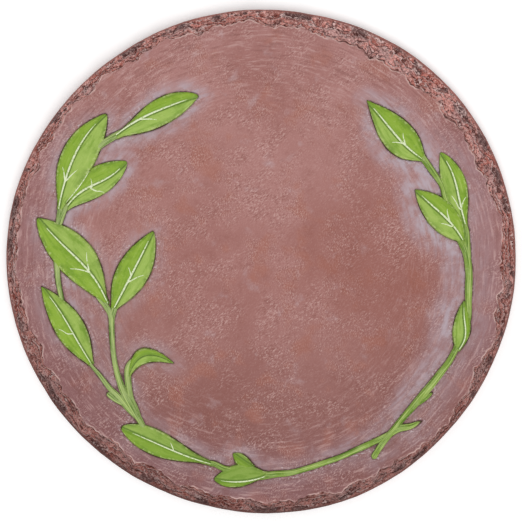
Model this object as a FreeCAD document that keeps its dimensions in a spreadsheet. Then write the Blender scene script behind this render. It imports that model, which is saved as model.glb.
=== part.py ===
"""Round garden stepping stone, cast in one piece in terracotta-coloured concrete.

A flat disc whose rim is broken like split stone, with a wreath of two crossed
leafy sprigs standing in low relief on the tread face.
Millimetres and degrees. +Z up, origin at the centre of the flat base, and the
wreath's crossing at the lower right of the tread face, seen from above.
"""

import FreeCAD, Part
import math
import os

import Sketcher

doc = FreeCAD.newDocument("garden_stepping_stone")
sheet = doc.addObject("Spreadsheet::Sheet", "sizes")

SIZES = {
    # Disc: widest a little above the base, where the mould parts.
    "stone_diameter": 305,
    "stone_thickness": 25,
    "base_inset": 2.5,
    "base_round": 2,
    "foot_height": 8,
    "break_width": 4.5,
    # Flakes: shallow scoops that leave the broken rim, widest on one side and less so opposite.
    "flake_radius": 28,
    "flake_rise": 11,
    "flake_bite": 7.2,
    "flake_scatter": 1.6,
    "flake_shift_angle": 2,
    "wide_swell": 6.5,
    "wide_swell_angle": 52,
    "lesser_swell": 3.5,
    "lesser_swell_angle": 225,
    # Wreath: every offset is measured from a circle this far inside the rim.
    "wreath_inset": 27.5,
    "relief_root": 2,
    "stem_bevel": 1,
    "leaf_fall": 1.5,
    "leaf_crown_radius": 55,
}
FLAKE_COUNT = 48
SWELL_SHARPNESS = 6
# Radians from one flake to the next of the two waves that make their places and bites uneven.
PLACE_WAVE_STEP = 2.4
BITE_WAVE_STEP = 1.7

# A leaf's base, heading, length, how far each edge bulges from the midrib, and height at the base.
LEAF_COLUMNS = ("angle", "offset", "heading", "length", "left", "right", "height")
LEAVES = {
    "crown_leaf": (141, -9, 26, 59, 10.5, 7.5, 3),
    "shoulder_leaf": (166, 0, 64, 65, 15, 7, 3.2),
    "inner_shoulder_leaf": (166, -3, 38, 48, 9, 7, 2.8),
    "long_leaf": (197.5, -29, 129, 69, 8, 16, 3.6),
    "upright_leaf": (199, -30, 63, 56, 10, 10, 3),
    "outer_leaf": (212, -5.5, 123, 57, 8, 10.5, 3.1),
    "low_leaf": (256.5, 1.5, 158.5, 62.5, 8.5, 8, 3),
    "foot_leaf": (271, 4, 185, 32.5, 6, 6.5, 2.9),
    "small_bud": (268, -1, 147, 17, 3.5, 3, 2.4),
    "right_crown_leaf": (31.5, -10, 133, 51, 11.5, 8.5, 3),
    "right_outer_leaf": (10.5, -2, 109, 45, 5, 9, 2.7),
    "right_inner_leaf": (5, -4, 133, 43, 7.5, 9, 3.4),
    "stem_bud": (335.5, 3.5, 82, 29, 4, 6.5, 3.1),
}
# The curled leaf is a crescent: both of its edges bulge to the left.
CURLED_LEAF = "curled_leaf"
CURLED_LEAF_ROW = (223, -16.5, 22, 28.5, 16, 7.5, 2.8)

# Both ends of a stem, how far it bulges to the left of its run, its width and its height.
STEM_COLUMNS = ("angle", "offset", "end_angle", "end_offset", "bulge", "width", "height")
STEMS = {
    "lower_stem": (315, 11, 268, 5, 5.2, 4.8, 2),
    "right_stem": (6.5, -5.5, 335, 4.2, 5.5, 4.4, 2.2),
    "crossing_stem": (337.5, 3.8, 299, 11, 1.4, 4.4, 2.6),
    "short_twig": (319.5, 3.5, 323, 6.5, 0.3, 3, 1.6),
    "right_leaf_stalk": (9, -3, 33.5, -10.8, 1, 3.8, 1.8),
    "main_stem": (234.5, -2.5, 197, -31.5, 7, 4.4, 2.2),
    "outer_stalk": (210, -5.4, 233, -3.2, 1, 4, 1.9),
    "curled_stalk": (231.5, -4, 221.5, -17, 0.6, 4.2, 2),
    "cut_twig": (228.5, -6, 220, -2, 0.6, 3.8, 1.7),
    "upper_stem": (191.5, -4, 164, 0, 2.4, 4.4, 1.3),
    "crown_stalk": (146.5, -5, 139, -10.5, 0.6, 4.2, 1.9),
    "low_stalk": (266, 4, 255, 1, 0.6, 4, 1.9),
    "bud_stalk": (272, 2, 267, -1.5, 0.3, 2.8, 1.6),
}


def fill_sheet():
    """Writes every driving dimension to a named cell."""
    cells = dict(SIZES)
    rows = {**LEAVES, CURLED_LEAF: CURLED_LEAF_ROW}
    for columns, table in ((LEAF_COLUMNS, rows), (STEM_COLUMNS, STEMS)):
        for name, values in table.items():
            cells.update({f"{name}_{column}": value for column, value in zip(columns, values)})
    for row, (alias, value) in enumerate(cells.items(), start=1):
        sheet.set(f"A{row}", alias)
        sheet.set(f"B{row}", str(value))
        sheet.setAlias(f"B{row}", alias)
    doc.recompute()


def bind(item, **expressions):
    """Ties an object's properties to the sheet."""
    for name, expression in expressions.items():
        item.setExpression(name, expression)


def place(item, x, y, z, yaw="0", pitch="0", roll="0"):
    """Ties an object's place, and its turns about Z, its own Y and its own X, to the sheet."""
    bind(item, Placement=f"placement(vector({x}; {y}; {z}); rotation({yaw}; {pitch}; {roll}))")


def on_wreath(angle, offset):
    """X and Y of a point given by its angle and its offset from the wreath's circle."""
    radius = f"(sizes.stone_diameter / 2 - sizes.wreath_inset + {offset})"
    return f"{radius} * cos({angle})", f"{radius} * sin({angle})"


def arc_radius(chord, bulge):
    """Radius of the arc that stands a bulge away from its chord."""
    return f"(({chord})^2 / 4 + ({bulge})^2) / (2 * {bulge})"


def polygon(sketch, corners):
    """Draws a closed outline in a sketch and ties each corner's X and Y to the sheet."""
    places = [tuple(float(sketch.evalExpression(value)) for value in corner) for corner in corners]
    points = [FreeCAD.Vector(x, y, 0) for x, y in places]
    for start, end in zip(points, points[1:] + points[:1]):
        sketch.addGeometry(Part.LineSegment(start, end))
    for edge, corner in enumerate(corners):
        before = (edge - 1) % len(corners)
        sketch.addConstraint(Sketcher.Constraint("Coincident", before, 2, edge, 1))
        for kind, value, expression in zip(("DistanceX", "DistanceY"), places[edge], corner):
            row = sketch.addConstraint(Sketcher.Constraint(kind, -1, 1, edge, 1, value))
            sketch.setExpression(f"Constraints[{row}]", expression)


def section_sketch(body):
    """Half section of the disc: flat base, short foot, sloping break and flat tread face."""
    plane = next(f for f in body.Origin.OriginFeatures if f.Role == "XZ_Plane")
    sketch = body.newObject("Sketcher::SketchObject", "section")
    sketch.AttachmentSupport = (plane, "")
    sketch.MapMode = "FlatFace"
    radius = "sizes.stone_diameter / 2"
    polygon(
        sketch,
        [
            ("0", "0"),
            (f"{radius} - sizes.base_inset", "0"),
            (radius, "sizes.foot_height"),
            (f"{radius} - sizes.break_width", "sizes.stone_thickness"),
            ("0", "sizes.stone_thickness"),
        ],
    )
    return sketch


def disc_blank():
    """The disc as moulded, before its rim is broken: its section turned about Z, base edge rounded."""
    body = doc.addObject("PartDesign::Body", "disc_blank")
    sketch = section_sketch(body)
    turned = body.newObject("PartDesign::Revolution", "turned_section")
    turned.Profile = sketch
    turned.ReferenceAxis = (sketch, ["V_Axis"])
    turned.Angle = 360
    doc.recompute()
    base_edges = [
        f"Edge{i}"
        for i, edge in enumerate(turned.Shape.Edges, start=1)
        if edge.BoundBox.ZMax < SIZES["base_round"] / 2 and edge.Closed
    ]
    rounded = body.newObject("PartDesign::Fillet", "base_edge")
    rounded.Base = (turned, base_edges)
    bind(rounded, Radius="sizes.base_round")
    body.Tip = rounded
    return body


def flake(index):
    """One scoop out of the rim: a ball whose top-face circle reaches a bite in from the rim."""
    turn = index * 360 / FLAKE_COUNT
    angle = f"({turn} + {math.sin(index * PLACE_WAVE_STEP):.3f} * sizes.flake_shift_angle)"
    bite = f"sizes.flake_bite + {math.sin(index * BITE_WAVE_STEP):.3f} * sizes.flake_scatter"
    for swell in ("wide_swell", "lesser_swell"):
        bite += f" + sizes.{swell} * ((1 + cos({angle} - sizes.{swell}_angle)) / 2)^{SWELL_SHARPNESS}"
    reach = "sqrt(sizes.flake_radius^2 - sizes.flake_rise^2)"
    centre = f"(sizes.stone_diameter / 2 - ({bite}) + {reach})"
    ball = doc.addObject("Part::Sphere", f"flake_{index:02d}")
    bind(ball, Radius="sizes.flake_radius")
    height = "sizes.stone_thickness + sizes.flake_rise"
    place(ball, f"{centre} * cos({angle})", f"{centre} * sin({angle})", height)
    return ball


def edge_cylinder(name, edge, bulge, side):
    """Upright cylinder whose wall is one edge of a leaf. Side is 1 for an edge that bulges left, else -1."""
    size = {column: f"sizes.{name}_{column}" for column in LEAF_COLUMNS}
    radius = arc_radius(size["length"], bulge)
    x, y = on_wreath(size["angle"], size["offset"])
    inward = f"({radius} - {bulge}) * {side}"
    along = f"{size['length']} / 2"
    x = f"{x} + {along} * cos({size['heading']}) + {inward} * sin({size['heading']})"
    y = f"{y} + {along} * sin({size['heading']}) - {inward} * cos({size['heading']})"
    cylinder = doc.addObject("Part::Cylinder", f"{name}_{edge}_edge")
    bind(cylinder, Radius=radius, Height=f"sizes.relief_root + 2 * {size['height']}")
    place(cylinder, x, y, "sizes.stone_thickness - sizes.relief_root")
    return cylinder


def crown_cylinder(name, aside):
    """Lying cylinder that rounds a leaf's top, set aside to its left, and falls towards the tip."""
    size = {column: f"sizes.{name}_{column}" for column in LEAF_COLUMNS}
    slope = f"atan(sizes.leaf_fall / {size['length']})"
    x, y = on_wreath(size["angle"], size["offset"])
    back = f"{size['length']} / 2"
    cylinder = doc.addObject("Part::Cylinder", f"{name}_crown")
    bind(cylinder, Radius="sizes.leaf_crown_radius", Height=f"2 * {size['length']}")
    place(
        cylinder,
        f"{x} - {back} * cos({size['heading']}) - {aside} * sin({size['heading']})",
        f"{y} - {back} * sin({size['heading']}) + {aside} * cos({size['heading']})",
        f"sizes.stone_thickness + {size['height']} + sizes.leaf_fall / 2 - sizes.leaf_crown_radius",
        yaw=size["heading"],
        pitch=f"90 deg + {slope}",
    )
    return cylinder


def leaf(name):
    """A leaf is what two upright cylinders share, rounded over by a lying one."""
    solid = doc.addObject("Part::MultiCommon", name)
    solid.Shapes = [
        edge_cylinder(name, "left", f"sizes.{name}_left", 1),
        edge_cylinder(name, "right", f"sizes.{name}_right", -1),
        crown_cylinder(name, f"(sizes.{name}_left - sizes.{name}_right) / 2"),
    ]
    return solid


def curled_leaf():
    """The crescent leaf: its inner edge is cut out of its outer one."""
    outer = doc.addObject("Part::MultiCommon", f"{CURLED_LEAF}_outer")
    outer.Shapes = [
        edge_cylinder(CURLED_LEAF, "left", f"sizes.{CURLED_LEAF}_left", 1),
        crown_cylinder(CURLED_LEAF, f"sizes.{CURLED_LEAF}_left / 2"),
    ]
    solid = doc.addObject("Part::Cut", CURLED_LEAF)
    solid.Base = outer
    solid.Tool = edge_cylinder(CURLED_LEAF, "right", f"sizes.{CURLED_LEAF}_right", 1)
    return solid


def stem(name):
    """A stem laid along an arc: its bevelled section turned about the arc's centre."""
    size = {column: f"sizes.{name}_{column}" for column in STEM_COLUMNS}
    x, y = on_wreath(size["angle"], size["offset"])
    end_x, end_y = on_wreath(size["end_angle"], size["end_offset"])
    run_x, run_y = f"({end_x} - {x})", f"({end_y} - {y})"
    chord = f"hypot({run_x}; {run_y})"
    radius = arc_radius(chord, size["bulge"])
    inward = f"({radius} - {size['bulge']}) / {chord}"
    half_sweep = f"2 * atan(2 * {size['bulge']} / {chord})"
    centre_x = f"{x} + {run_x} / 2 + {inward} * {run_y}"
    centre_y = f"{y} + {run_y} / 2 - {inward} * {run_x}"
    half_width = f"{size['width']} / 2"
    top = f"sizes.relief_root + {size['height']}"
    section = doc.addObject("Sketcher::SketchObject", f"{name}_section")
    polygon(
        section,
        [
            (f"{radius} - {half_width}", "0"),
            (f"{radius} + {half_width}", "0"),
            (f"{radius} + {half_width}", f"{top} - sizes.stem_bevel"),
            (f"{radius} + {half_width} - sizes.stem_bevel", top),
            (f"{radius} - {half_width} + sizes.stem_bevel", top),
            (f"{radius} - {half_width}", f"{top} - sizes.stem_bevel"),
        ],
    )
    start = f"atan2({run_y}; {run_x}) + 90 deg - {half_sweep}"
    place(section, centre_x, centre_y, "sizes.stone_thickness - sizes.relief_root", yaw=start, roll="90")
    solid = doc.addObject("Part::Revolution", name)
    solid.Source = section
    solid.Axis = FreeCAD.Vector(0, 0, 1)
    solid.Solid = True
    bind(solid, Base=f"vector({centre_x}; {centre_y}; 0)", Angle=f"2 * {half_sweep}")
    return solid


def stepping_stone():
    """The whole casting: the wreath grown out of the disc's face, then the flakes broken off its rim."""
    reliefs = [leaf(name) for name in LEAVES] + [curled_leaf()] + [stem(name) for name in STEMS]
    casting = doc.addObject("Part::MultiFuse", "casting")
    casting.Shapes = [disc_blank()] + reliefs
    flakes = doc.addObject("Part::MultiFuse", "flakes")
    flakes.Shapes = [flake(index) for index in range(FLAKE_COUNT)]
    broken = doc.addObject("Part::Cut", "broken_casting")
    broken.Base = casting
    broken.Tool = flakes
    broken.Label = "stepping_stone"
    return broken


def check(sub_part):
    """Stops the build if any object failed, or if the sub-part isn't one sound solid."""
    failed = [item.Name for item in doc.Objects if {"Invalid", "Error"} & set(item.State)]
    if failed:
        raise RuntimeError(f"these objects failed to compute: {failed}")
    shape = sub_part.Shape
    if shape.isNull() or not shape.isValid() or len(shape.Solids) != 1:
        raise RuntimeError(f"{sub_part.Label} is not one valid solid")


fill_sheet()
stone = stepping_stone()
doc.recompute()
check(stone)
os.makedirs("parts", exist_ok=True)
stone.Shape.exportStep(f"parts/{stone.Label}.step")
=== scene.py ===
"""A round garden stepping stone of terracotta-coloured concrete with a painted wreath in low relief.

The stone is cast face down, so this file goes the way the mould fills: the leaves first, then
their veins, the stems and at last the disc, followed by the table, the light and the camera.
"""

import math
from collections import namedtuple

import bmesh
import bpy
from mathutils import Matrix, Vector


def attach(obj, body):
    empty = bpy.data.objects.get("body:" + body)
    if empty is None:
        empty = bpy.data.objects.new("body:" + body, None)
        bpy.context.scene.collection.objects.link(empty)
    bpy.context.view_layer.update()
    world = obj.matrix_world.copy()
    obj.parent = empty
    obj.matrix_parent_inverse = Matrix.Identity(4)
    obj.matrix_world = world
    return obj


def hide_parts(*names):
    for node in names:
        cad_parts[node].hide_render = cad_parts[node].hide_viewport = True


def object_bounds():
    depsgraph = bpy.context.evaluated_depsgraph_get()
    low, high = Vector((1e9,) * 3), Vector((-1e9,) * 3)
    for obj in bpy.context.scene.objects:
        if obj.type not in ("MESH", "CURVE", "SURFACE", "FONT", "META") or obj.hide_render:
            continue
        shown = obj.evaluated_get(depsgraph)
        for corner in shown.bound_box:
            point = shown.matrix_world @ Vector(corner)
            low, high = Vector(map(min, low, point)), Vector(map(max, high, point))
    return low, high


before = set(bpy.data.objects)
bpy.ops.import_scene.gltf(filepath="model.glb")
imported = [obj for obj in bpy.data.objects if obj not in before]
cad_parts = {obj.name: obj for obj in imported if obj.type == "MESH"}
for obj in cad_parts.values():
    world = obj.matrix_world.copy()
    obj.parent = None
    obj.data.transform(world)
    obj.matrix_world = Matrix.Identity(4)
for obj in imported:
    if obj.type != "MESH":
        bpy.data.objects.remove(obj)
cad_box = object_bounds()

# The leaves: fourteen slim laurel leaves in low relief, concrete in one with the stone.
# They are brushed with green paint; painted light makes the half that faces the stone's middle lighter and
# painted shade the outer half darker, and painted shade with dirty wash darkens the corner between each leaf
# and the face.
MM = 0.001
FACE_HEIGHT = 25 * MM
WREATH_RADIUS = 125 * MM
LEAF_ROWS, LEAF_COLUMNS = 57, 41
# This share of the spacing of the rows is even, and the rest crowds them towards base and tip.
EVEN_SHARE = 0.4
# The blade takes this share of the half width, and the rest is a skirt that runs down into the face.
BLADE_SHARE = 0.86
SKIRT_FLARE = 1.2 * MM
EDGE_SETBACK = 0.45 * MM
ROOT_DEPTH = 0.8 * MM
STALK_HALF_WIDTH = 1.5 * MM
# Shares of the leaf's height: the base's own height, and the fall from the midrib to the edge.
BASE_SHARE, EDGE_FALL = 0.62, 0.42
TIP_DROP = 1.3 * MM
GUTTER_DEPTH, GUTTER_HALF_WIDTH = 0.35 * MM, 1.0 * MM
SWELL_HEIGHT, SWELL_SIZE = 0.5 * MM, 11 * MM
STREAKS_ACROSS, STREAK_LENGTH = 3.5, 13 * MM

# Base (degrees round the wreath, mm outside it), heading, length, bulge and its place along the left
# and right edges, bend and sway of the midrib, share of the length in which the base tapers,
# height, and the side that faces the middle. All lengths are in mm.
Leaf = namedtuple("Leaf", (
    "angle", "offset", "heading", "length", "left_bulge", "left_place", "right_bulge", "right_place",
    "bend", "sway", "taper", "height", "inner_side",
))
LEAVES = {
    "crown": Leaf(140.8, -10.7, 26, 57.6, 9.7, 0.6, 7, 0.49, 2.94, 0.34, 0.2, 3.0, -1),
    "shoulder": Leaf(167, -1.3, 64, 65.9, 14, 0.53, 6.3, 0.58, 6.1, -0.44, 0.1, 3.3, -1),
    "inner_shoulder": Leaf(166, -4.2, 38, 47.9, 10.1, 0.51, 7.1, 0.59, 1.01, 1.76, 0.15, 1.5, -1),
    "long": Leaf(197.1, -30.6, 129, 68.3, 8.9, 0.57, 14.6, 0.49, -3.19, -1.24, 0.15, 3.3, -1),
    "upright": Leaf(199.4, -31, 63, 54.6, 9.3, 0.47, 10, 0.52, -0.27, 0.04, 0.1, 3.0, -1),
    "outer": Leaf(212.4, -6.7, 122.8, 57, 7.7, 0.45, 9.7, 0.47, -1.13, 0.41, 0.1, 3.1, -1),
    "low": Leaf(257.5, -0.1, 158.5, 60.8, 9.1, 0.55, 7.7, 0.66, 1.08, 0.32, 0.28, 3.0, -1),
    "foot": Leaf(272.1, 2.6, 184.5, 33, 6, 0.6, 7.6, 0.48, 2.87, 0, 0.12, 2.9, -1),
    "bud": Leaf(268.2, -1.3, 146, 15.5, 4.1, 0.51, 3, 0.57, 0.2, 0, 0.1, 2.4, -1),
    "right_crown": Leaf(31.1, -11.1, 134, 50.2, 11.4, 0.38, 8.4, 0.41, 1.87, 0.59, 0.1, 3.0, 1),
    "right_outer": Leaf(8.3, -1.5, 108.8, 49.1, 6.2, 0.46, 9, 0.56, -2.39, 0.84, 0.16, 1.7, 1),
    "right_inner": Leaf(4.9, -3.8, 133, 43.1, 7.5, 0.48, 9.9, 0.47, -1.72, -0.56, 0.07, 3.4, 1),
    "stem_bud": Leaf(334.8, 3.6, 82, 31.2, 4.3, 0.46, 6.2, 0.42, -2.8, -1.2, 0.1, 3.1, 1),
    "curled": Leaf(222.5, -16.4, 22.6, 31, 15.5, 0.5, -6.7, 0.44, 11.67, 0, 0.06, 2.8, -1),
}


class Wire:
    """A node's output, so that the sums of a tree read as sums."""

    def __init__(self, socket):
        self.socket = socket

    def math(self, operation, *terms):
        inputs = dict(enumerate((self, *terms)))
        return wired(self.socket.id_data, "ShaderNodeMath", inputs, operation=operation)

    def flipped(self, operation, term):
        return wired(self.socket.id_data, "ShaderNodeMath", {0: term, 1: self}, operation=operation)

    def __add__(self, term):
        return self.math("ADD", term)

    def __sub__(self, term):
        return self.math("SUBTRACT", term)

    def __mul__(self, term):
        return self.math("MULTIPLY", term)

    def __truediv__(self, term):
        return self.math("DIVIDE", term)

    def __pow__(self, term):
        return self.math("POWER", term)

    def __radd__(self, term):
        return self.flipped("ADD", term)

    def __rsub__(self, term):
        return self.flipped("SUBTRACT", term)

    def __rmul__(self, term):
        return self.flipped("MULTIPLY", term)

    def __neg__(self):
        return 0.0 - self

    def __abs__(self):
        return self.math("ABSOLUTE")

    def rise(self, low, high):
        """0 below the low mark, 1 above the high one, and a smooth step between."""
        marks = {0: self, 1: low, 2: high}
        return wired(self.socket.id_data, "ShaderNodeMapRange", marks, interpolation_type="SMOOTHSTEP")

    def fall(self, low, high):
        """1 below the low mark, 0 above the high one, and a smooth step between."""
        return 1.0 - self.rise(low, high)

    def part(self, start, length):
        """How far along a stretch this is, from 0 to 1."""
        return ((self - start) / length).math("MAXIMUM", 0.0).math("MINIMUM", 1.0)


def feed(slot, value):
    """Links a wire to a socket, or sets the socket's own value."""
    if isinstance(value, Wire):
        slot.id_data.links.new(value.socket, slot)
    else:
        slot.default_value = value


def add(tree, kind, inputs=None, **settings):
    """A new node with its settings and its inputs."""
    made = tree.nodes.new(kind)
    for name, value in settings.items():
        setattr(made, name, value)
    for slot, value in (inputs or {}).items():
        feed(made.inputs[slot], value)
    return made


def wired(tree, kind, inputs=None, output=0, **settings):
    """One output of a new node, as a wire."""
    return Wire(add(tree, kind, inputs, **settings).outputs[output])


def shape_tree(name, sizes):
    """A geometry tree with a named input for each size, and those inputs as wires."""
    tree = bpy.data.node_groups.new(name, "GeometryNodeTree")
    tree.interface.new_socket("Source", in_out="INPUT", socket_type="NodeSocketGeometry")
    for size in sizes:
        tree.interface.new_socket(size, in_out="INPUT", socket_type="NodeSocketFloat")
    tree.interface.new_socket("Mesh", in_out="OUTPUT", socket_type="NodeSocketGeometry")
    entry = tree.nodes.new("NodeGroupInput")
    return tree, {socket.name: Wire(socket) for socket in entry.outputs if socket.name}


def where(tree):
    """The place of each point of a mesh or line."""
    return wired(tree, "GeometryNodeInputPosition")


def split(tree, place):
    """X, Y and Z of a place."""
    return [Wire(output) for output in add(tree, "ShaderNodeSeparateXYZ", {0: place}).outputs]


def vector(tree, x, y, z):
    return wired(tree, "ShaderNodeCombineXYZ", {0: x, 1: y, 2: z})


def kept(tree, shape, **attributes):
    """Stores values with the shape's points, for the paint to read."""
    for name, value in attributes.items():
        stored = {0: shape, "Name": name, "Value": value}
        shape = wired(tree, "GeometryNodeStoreNamedAttribute", stored, data_type="FLOAT")
    return shape


def end_tree(tree, shape, material):
    """Closes a tree: shaded smooth, instances made real, material set."""
    shape = wired(tree, "GeometryNodeSetShadeSmooth", {0: shape})
    shape = wired(tree, "GeometryNodeRealizeInstances", {0: shape})
    shape = wired(tree, "GeometryNodeSetMaterial", {0: shape, "Material": material})
    add(tree, "NodeGroupOutput", {0: shape})


def grown(tree, sizes, source=None):
    """The plain mesh that a tree makes at these sizes."""
    worker = bpy.data.objects.new("worker", source or bpy.data.meshes.new("worker"))
    bpy.context.scene.collection.objects.link(worker)
    modifier = worker.modifiers.new("shape", "NODES")
    modifier.node_group = tree
    for socket in tree.interface.items_tree:
        if socket.in_out == "INPUT" and socket.name in sizes:
            modifier[socket.identifier] = float(sizes[socket.name])
    mesh = bpy.data.meshes.new_from_object(worker.evaluated_get(bpy.context.evaluated_depsgraph_get()))
    material = mesh.materials[-1]
    mesh.materials.clear()
    mesh.materials.append(material)
    mesh.polygons.foreach_set("material_index", [0] * len(mesh.polygons))
    worker.modifiers.remove(modifier)
    bpy.data.objects.remove(worker)
    return mesh


def piece(name, mesh):
    """A finished piece of the stone, riding on its only body."""
    made = bpy.data.objects.new(name, mesh)
    bpy.context.scene.collection.objects.link(made)
    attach(made, "root")
    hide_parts("stepping_stone")
    return made


def colour(red, green, blue):
    """A screen colour from 0 to 255 as the linear one that a shader takes."""
    linear = [((v / 255 + 0.055) / 1.055) ** 2.4 for v in (red, green, blue)]
    return (*linear, 1.0)


def paint(name, roughness, shine):
    """A new material: its tree, its shader and the object coordinates as a wire."""
    material = bpy.data.materials.new(name)
    material.use_nodes = True
    tree = material.node_tree
    shader = tree.nodes["Principled BSDF"]
    shader.inputs["Roughness"].default_value = roughness
    shader.inputs["Specular IOR Level"].default_value = shine
    return material, tree, shader, wired(tree, "ShaderNodeTexCoord", output="Object")


def grain(tree, place, size, detail=3.0, roughness=0.55):
    """Noise whose patches are about this size, in metres."""
    settings = {"Vector": place, "Scale": 1 / size, "Detail": detail, "Roughness": roughness}
    return wired(tree, "ShaderNodeTexNoise", settings)


def laid(tree, under, over, amount):
    """One colour laid over another by an amount from 0 to 1."""
    return wired(tree, "ShaderNodeMix", {0: amount, 6: under, 7: over}, 2, data_type="RGBA")


def coated(tree, under, colours, **amounts):
    """Coats of named colours laid in turn over the first one, each by its amount from 0 to 1."""
    for name, amount in amounts.items():
        under = laid(tree, under, colours[name], amount)
    return under


def carried(tree, name):
    """A value that the mesh carries."""
    return wired(tree, "ShaderNodeAttribute", output="Fac", attribute_name=name)


def bumped(tree, shader, height, distance, strength):
    relief = {"Height": height, "Distance": distance, "Strength": strength}
    feed(shader.inputs["Normal"], wired(tree, "ShaderNodeBump", relief))


LEAF_COLOURS = {
    "shady_half": colour(139, 172, 54),
    "sunny_half": colour(155, 183, 85),
    "dark_patches": colour(100, 138, 24),
    "dark_streaks": colour(104, 144, 22),
    "pale_streaks": colour(176, 198, 104),
    "beside_rib": colour(94, 130, 30),
    "crease": colour(70, 98, 26),
    "brush_marks": colour(178, 198, 112),
    "low_leaves": colour(88, 122, 26),
    "dull_edge": colour(96, 128, 40),
    "worn_edge": colour(194, 208, 138),
    "corner_dirt": colour(58, 36, 27),
}
leaf_paint, tree, shader, place = paint("leaf_green", roughness=0.6, shine=0.25)
across, rib, foot = [carried(tree, name) for name in ("across", "rib", "foot")]
patches = grain(tree, place, 9 * MM, 4.0)
strokes = grain(tree, place, 1.6 * MM, 3.0, 0.6)
down_leaf = carried(tree, "from_base") / STREAK_LENGTH
lengthwise = vector(tree, across * STREAKS_ACROSS, down_leaf, carried(tree, "side_turn"))
streaks = grain(tree, lengthwise, 1.0, 3.0, 0.6)
# A dark line on the inner side of the midrib: the painted shadow of the raised vein.
crease = across.rise(0.0, 0.02) * rib.rise(0.3 * MM, 0.6 * MM) * rib.fall(1.0 * MM, 1.6 * MM)
y = split(tree, place)[1]
green = coated(
    tree,
    LEAF_COLOURS["shady_half"],
    LEAF_COLOURS,
    sunny_half=across.rise(-0.1, 0.12),
    dark_patches=patches.rise(0.5, 0.75) * 0.5,
    dark_streaks=streaks.fall(0.32, 0.5) * 0.55,
    pale_streaks=streaks.rise(0.55, 0.72) * 0.55,
    # darker green along the midrib, where the gutter dips: painted shade
    beside_rib=rib.fall(0.5 * MM, 1.8 * MM) * 0.5,
    crease=crease * 0.7,
    brush_marks=strokes.rise(0.52, 0.75) * 0.3,
    low_leaves=(-y).rise(60 * MM, 140 * MM) * 0.4,
    # darker green near the edges, where the blade falls away: painted shade
    dull_edge=abs(across).rise(0.62, 0.95) * patches.rise(0.4, 0.6) * 0.55,
    # pale rubbed paint and a painted highlight along the very edges
    worn_edge=abs(across).rise(0.84, 0.97) * strokes.rise(0.46, 0.62) * 0.6,
    # painted shade and dirt darken the foot of the leaf where it meets the face
    corner_dirt=foot.rise(0.06, 0.3) * (0.5 + 0.45 * patches.rise(0.42, 0.55)),
)
feed(shader.inputs["Base Color"], green)
bumped(tree, shader, patches * 0.6 + strokes * 0.4, 0.35 * MM, 0.6)

tree, size = shape_tree("laurel_leaf", (
    "Length", "Left Bulge", "Left Place", "Right Bulge", "Right Place", "Bend", "Sway", "Taper", "Height",
    "Inner Side",
))
grid = wired(tree, "GeometryNodeMeshGrid", {0: 1.0, 1: 1.0, 2: LEAF_ROWS, 3: LEAF_COLUMNS})
x, y, _ = split(tree, where(tree))
run = x + 0.5
along = run * EVEN_SHARE + (0.5 - 0.5 * (run * math.pi).math("COSINE")) * (1 - EVEN_SHARE)
reach = abs(y * 2.0)
blade = (reach / BLADE_SHARE).math("MINIMUM", 1.0) ** 1.3
skirt = reach.part(BLADE_SHARE, 1 - BLADE_SHARE)
# Each edge bulges at its own place, and the midrib bends and sways between the two.
left = y.math("GREATER_THAN", 0.0)
side = left * 2.0 - 1.0
bulge = size["Right Bulge"] + (size["Left Bulge"] - size["Right Bulge"]) * left
spot = size["Right Place"] + (size["Left Place"] - size["Right Place"]) * left
fullness = (along / spot) ** (2.0 * spot) * ((1.0 - along) / (1.0 - spot)) ** (2.0 * (1.0 - spot))
pinch = 1.0 - (-(along / size["Taper"])).math("EXPONENT")
edge = side * ((bulge - EDGE_SETBACK) * fullness * pinch + STALK_HALF_WIDTH * (1.0 - along) ** 10)
midrib = size["Bend"] * 4.0 * along * (1.0 - along) + size["Sway"] * (along * math.tau).math("SINE")
half = edge - midrib
from_rib = half * blade
width = midrib + from_rib + side * skirt * SKIRT_FLARE * (1.0 - 0.75 * along**12)
# The blade falls from the midrib to its edges, with a gutter along the rib.
ridge = size["Height"] * (BASE_SHARE + (1 - BASE_SHARE) * along.rise(0.0, 0.25)) - TIP_DROP * along**2
gutter = GUTTER_DEPTH * (-((from_rib / GUTTER_HALF_WIDTH) ** 2)).math("EXPONENT")
swell_place = vector(tree, along * size["Length"], y, size["Bend"])
swell = SWELL_HEIGHT * (grain(tree, swell_place, SWELL_SIZE) - 0.5)
top = ridge * (1.0 - EDGE_FALL * blade**2.2) - gutter + swell
standing = along.fall(0.98, 1.0) * skirt.fall(0.0, 1.0)
lift = along.rise(0.0, 0.06) * standing
height = top * lift - ROOT_DEPTH * (1.0 - lift)
shape = kept(
    tree,
    grid,
    across=side * blade * size["Inner Side"],
    rib=abs(from_rib),
    foot=1.0 - standing,
    from_base=along * size["Length"],
    side_turn=size["Bend"] / MM,
)
leaf_point = vector(tree, along * size["Length"], width, height)
end_tree(tree, wired(tree, "GeometryNodeSetPosition", {0: shape, "Position": leaf_point}), leaf_paint)


def leaf_place(leaf):
    """Where a leaf's own X and Y, along it and to its left, lie on the face."""
    turn = math.radians(leaf.angle)
    radius = WREATH_RADIUS + leaf.offset * MM
    base = Vector((radius * math.cos(turn), radius * math.sin(turn), FACE_HEIGHT))
    return Matrix.Translation(base) @ Matrix.Rotation(math.radians(leaf.heading), 4, "Z")


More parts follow.
